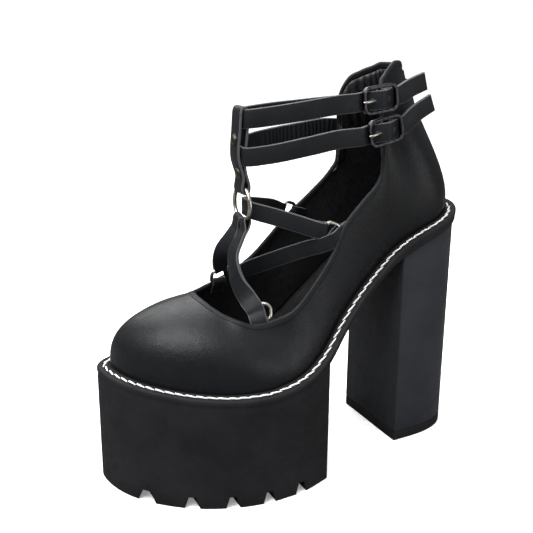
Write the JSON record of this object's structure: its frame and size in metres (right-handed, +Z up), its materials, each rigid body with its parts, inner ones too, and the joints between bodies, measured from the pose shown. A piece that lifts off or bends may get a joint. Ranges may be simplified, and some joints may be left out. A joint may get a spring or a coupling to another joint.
{
  "type": "platform heel shoe with strap harness",
  "caption": "High platform shoe with block heel, closed toe and back, padded collar, and a harness of ringed straps over the instep.",
  "frame": {"origin": "middle of the footprint's box, on the floor under the sole", "axes": "+Z up, -Y towards the toe, +Y towards the heel, +X towards the outer side of the left foot"},
  "size_m": [0.0894, 0.2158, 0.2243],
  "materials": {
    "smooth_leather": "satin, smooth coated leather",
    "lining": "matte soft lining",
    "platform_rubber": "matte moulded rubber",
    "heel_cover": "satin wrapped heel",
    "gunmetal": "dark polished plating",
    "nickel": "polished nickel plating",
    "thread": "waxed off-white thread"
  },
  "bodies": {
    "shoe": {"sole_unit": "platform_rubber", "welt": "platform_rubber", "insole": "lining", "heel_block": "heel_cover", "heel_tip": "platform_rubber", "upper": "smooth_leather", "ankle_strap_upper": "smooth_leather", "buckle_upper": "gunmetal", "prong_upper": "gunmetal", "buckle_tab_upper": "smooth_leather", "ankle_strap_lower": "smooth_leather", "buckle_lower": "gunmetal", "prong_lower": "gunmetal", "buckle_tab_lower": "smooth_leather", "t_bar": "smooth_leather", "rivet_1": "nickel", "rivet_2": "nickel", "o_ring": "nickel", "d_ring_upper_outer": "nickel", "d_ring_lower_outer": "nickel", "d_ring_upper_inner": "nickel", "d_ring_lower_inner": "nickel", "ring_tab_lower_outer": "smooth_leather", "ring_tab_upper_inner": "smooth_leather", "ring_tab_lower_inner": "smooth_leather", "strap_lower_inner": "smooth_leather", "strap_lower_outer": "smooth_leather", "strap_instep": "smooth_leather", "strap_crossing": "smooth_leather", "zip_slider": "gunmetal"},
    "pull": {"zip_pull": "gunmetal"}
  },
  "joints": [
    {"name": "pull_swing", "type": "hinge", "parent": "shoe", "child": "pull", "pos_m": [-0.004, 0.07552, 0.21103], "axis": [1, 0, 0], "range_deg": [0, 130]}
  ]
}
